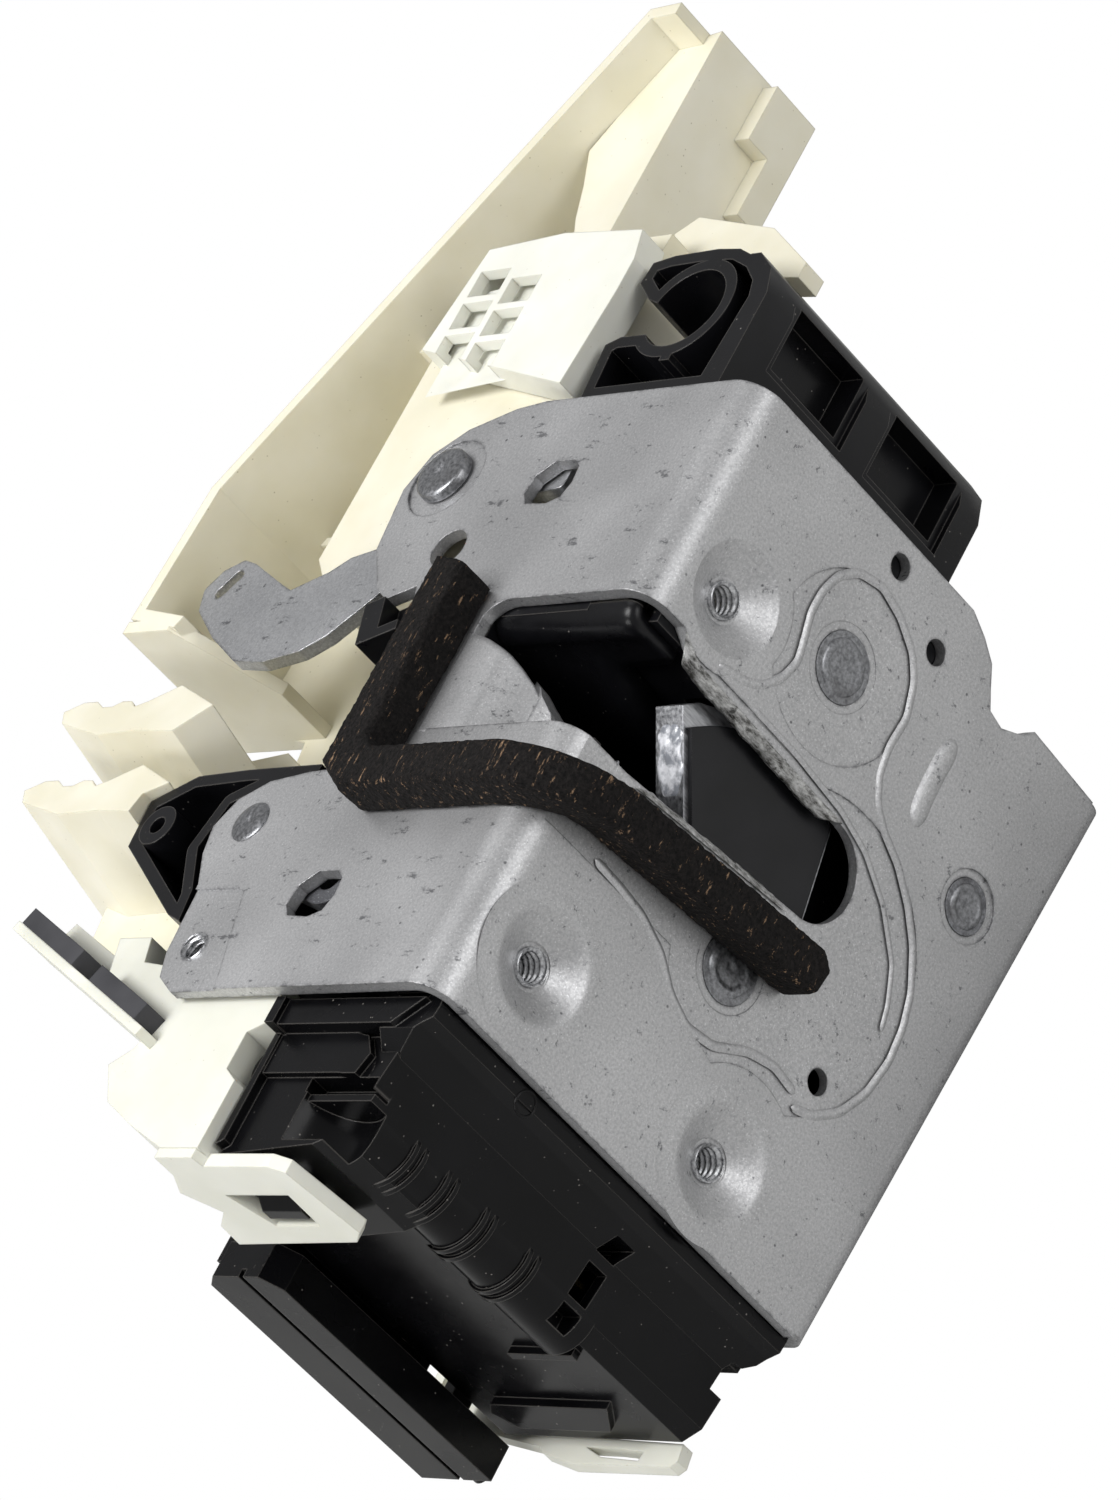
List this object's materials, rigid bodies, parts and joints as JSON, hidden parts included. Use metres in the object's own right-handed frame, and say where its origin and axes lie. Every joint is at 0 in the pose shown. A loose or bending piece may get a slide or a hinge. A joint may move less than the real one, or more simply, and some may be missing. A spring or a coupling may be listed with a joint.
{
  "type": "door latch actuator",
  "caption": "Vehicle side-door latch with a bent steel plate, claw and pawl, and a worm-driven power lock in plastic housings.",
  "frame": {"origin": "centre line of the striker mouth at the corner of the two outer faces of the steel plate", "axes": "+X along the bend towards the cable clip, +Y into the door away from the door-face arm, +Z out of the side arm along the way the striker leaves"},
  "size_m": [0.1924, 0.1125, 0.0896],
  "materials": {
    "zinc_plate": "zinc plated, satin, fine grain",
    "black_plastic": "semi-matt moulded",
    "claw_steel": "ground",
    "rivet_steel": "dull, upset",
    "spring_steel": "drawn wire",
    "lever_steel": "zinc plated, satin",
    "bumper_rubber": "matt",
    "foam": "open-cell foam with fine fibres",
    "contact_brass": "bright",
    "cream_plastic": "smooth unfilled",
    "white_plastic": "smooth unfilled",
    "grey_rubber": "matt",
    "motor_steel": "zinc plated",
    "gear_plastic": "smooth",
    "screw_steel": "zinc plated"
  },
  "bodies": {
    "latch_body": {"latch_plate": "zinc_plate", "back_plate": "zinc_plate", "latch_housing": "black_plastic", "claw_pivot": "rivet_steel", "claw_spring": "spring_steel", "pawl_pivot": "rivet_steel", "pawl_spring": "spring_steel", "stop_rivet": "rivet_steel", "bumper": "bumper_rubber", "foam_seal": "foam", "release_pin": "rivet_steel", "release_spring": "spring_steel", "inside_pin": "rivet_steel", "inside_spring": "spring_steel", "side_cover": "black_plastic", "connector_pins": "contact_brass", "contact_strips": "contact_brass", "actuator_case": "cream_plastic", "actuator_cover": "white_plastic", "cable_bracket": "white_plastic", "edge_pads": "grey_rubber", "lock_motor": "motor_steel", "motor_terminals": "contact_brass", "wheel_axle": "rivet_steel", "microswitches": "black_plastic", "cover_screws": "screw_steel"},
    "claw_body": {"claw": "claw_steel", "claw_jacket": "black_plastic"},
    "pawl_body": {"pawl": "claw_steel", "pawl_lever": "lever_steel"},
    "release_body": {"release_lever": "lever_steel"},
    "inside_body": {"inside_lever": "lever_steel"},
    "worm_body": {"worm": "gear_plastic"},
    "wheel_body": {"worm_wheel": "gear_plastic"},
    "slider_body": {"lock_slider": "gear_plastic"}
  },
  "joints": [
    {"name": "claw_turn", "type": "hinge", "parent": "latch_body", "child": "claw_body", "pos_m": [-0.0184, 0.006, -0.0394], "axis": [0, 1, 0], "range_deg": [0, 62], "stiffness_Nm_per_rad": 0.12, "springref_deg": -114.59},
    {"name": "release_turn", "type": "hinge", "parent": "latch_body", "child": "release_body", "pos_m": [0.0336, 0.0519, -0.0032], "axis": [0, 0, -1], "range_deg": [0, 20], "stiffness_Nm_per_rad": 0.1, "springref_deg": -85.94},
    {"name": "pawl_turn", "type": "hinge", "parent": "latch_body", "child": "pawl_body", "pos_m": [0.0247, 0.006, -0.0332], "axis": [0, -1, 0], "range_deg": [0, 14.5], "stiffness_Nm_per_rad": 0.06, "springref_deg": -85.94},
    {"name": "inside_turn", "type": "hinge", "parent": "latch_body", "child": "inside_body", "pos_m": [-0.0232, 0.0524, -0.0032], "axis": [0, 0, -1], "range_deg": [0, 25], "stiffness_Nm_per_rad": 0.05, "springref_deg": -85.94},
    {"name": "worm_spin", "type": "hinge", "parent": "latch_body", "child": "worm_body", "pos_m": [0, 0.047, -0.065], "axis": [1, 0, 0], "range_deg": [0, 3240]},
    {"name": "wheel_turn", "type": "hinge", "parent": "latch_body", "child": "wheel_body", "pos_m": [0.008, 0.047, -0.046], "axis": [0, 1, 0], "range_deg": [0, 82]},
    {"name": "lock_slide", "type": "slide", "parent": "latch_body", "child": "slider_body", "axis": [1, 0, 0], "range_m": [0, 0.0095]}
  ],
  "couplings": [
    {"joint": "pawl_turn", "follows": "release_turn", "ratio": 0.7},
    {"joint": "wheel_turn", "follows": "lock_slide", "rad_per_m": 148.63},
    {"joint": "worm_spin", "follows": "lock_slide", "rad_per_m": 5945.2}
  ]
}
